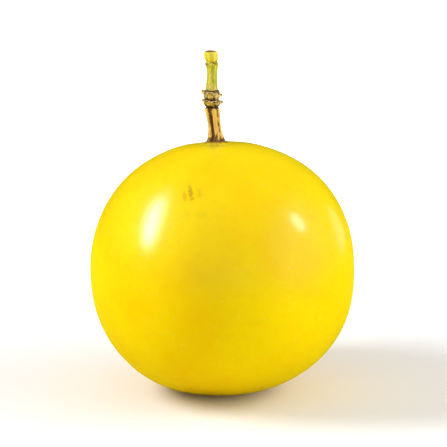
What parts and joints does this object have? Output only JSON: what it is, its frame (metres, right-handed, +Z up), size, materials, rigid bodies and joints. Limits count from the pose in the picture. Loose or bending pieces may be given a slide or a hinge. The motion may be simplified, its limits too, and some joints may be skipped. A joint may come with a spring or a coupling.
{
  "type": "passion fruit",
  "caption": "Whole ripe yellow passion fruit, round and glossy, on a small flat spot, with its ribbed stalk, dark flower scar and green stem end.",
  "frame": {"origin": "the middle of the small flat spot that the fruit rests on, under the middle of the berry", "axes": "+Z up, the way the stalk points; -Y is the side that the picture shows, and the stalk leans a little towards -X and +Y"},
  "size_m": [0.0704, 0.0696, 0.0901],
  "materials": {
    "rind": "satin",
    "stalk": "matte",
    "flower_scar": "matte",
    "green_stem": "matte"
  },
  "bodies": {
    "root": {"rind": "rind", "stalk": "stalk", "flower_scar": "flower_scar", "green_stem": "green_stem"}
  },
  "joints": []
}
